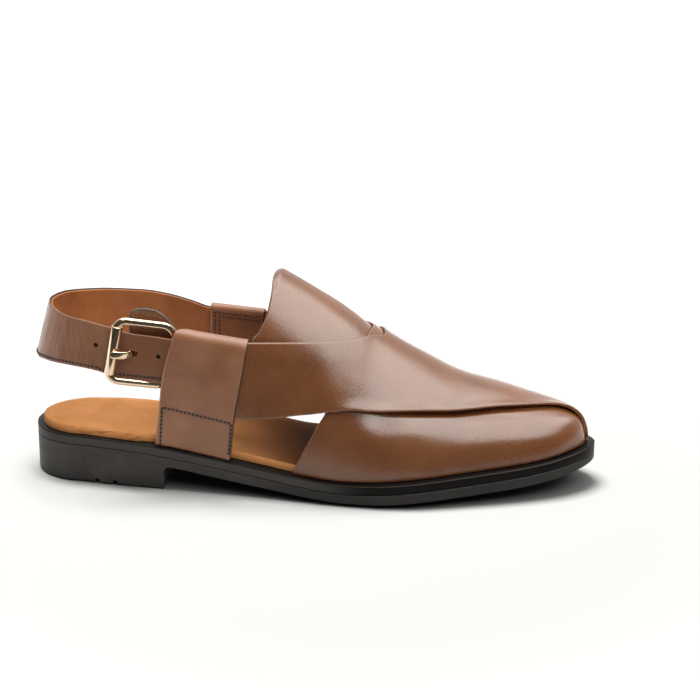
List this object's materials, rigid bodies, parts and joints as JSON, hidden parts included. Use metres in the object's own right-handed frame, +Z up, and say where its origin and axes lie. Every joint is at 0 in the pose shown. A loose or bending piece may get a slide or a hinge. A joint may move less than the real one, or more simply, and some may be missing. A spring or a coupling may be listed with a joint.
{
  "type": "peshawari chappal",
  "caption": "Closed-toe leather sandal for the right foot: broad crossing instep panels, folded side ears, a raised tongue, a buckled heel strap and a low moulded heel.",
  "frame": {"origin": "middle of the heel's flat bottom face, 38 mm ahead of the back of the heel", "axes": "+X towards the toe, +Y towards the inner side of the foot, +Z up"},
  "size_m": [0.3, 0.0993, 0.112],
  "materials": {
    "leather_brown": "mid-brown full-grain leather with a fine grain, waxed to a soft shine",
    "lining_tan": "smooth unpolished tan lining leather",
    "sole_black": "matt moulded rubber, black",
    "welt_black": "black edge dressing, satin",
    "buckle_brass": "polished pale brass"
  },
  "bodies": {
    "root": {"sole": "sole_black", "welt": "welt_black", "insole": "lining_tan", "upper": "leather_brown", "tongue": "leather_brown", "heel_strap": "leather_brown", "buckle_tab": "leather_brown", "buckle_frame": "buckle_brass", "buckle_roller": "buckle_brass", "buckle_prong": "buckle_brass"}
  },
  "joints": []
}
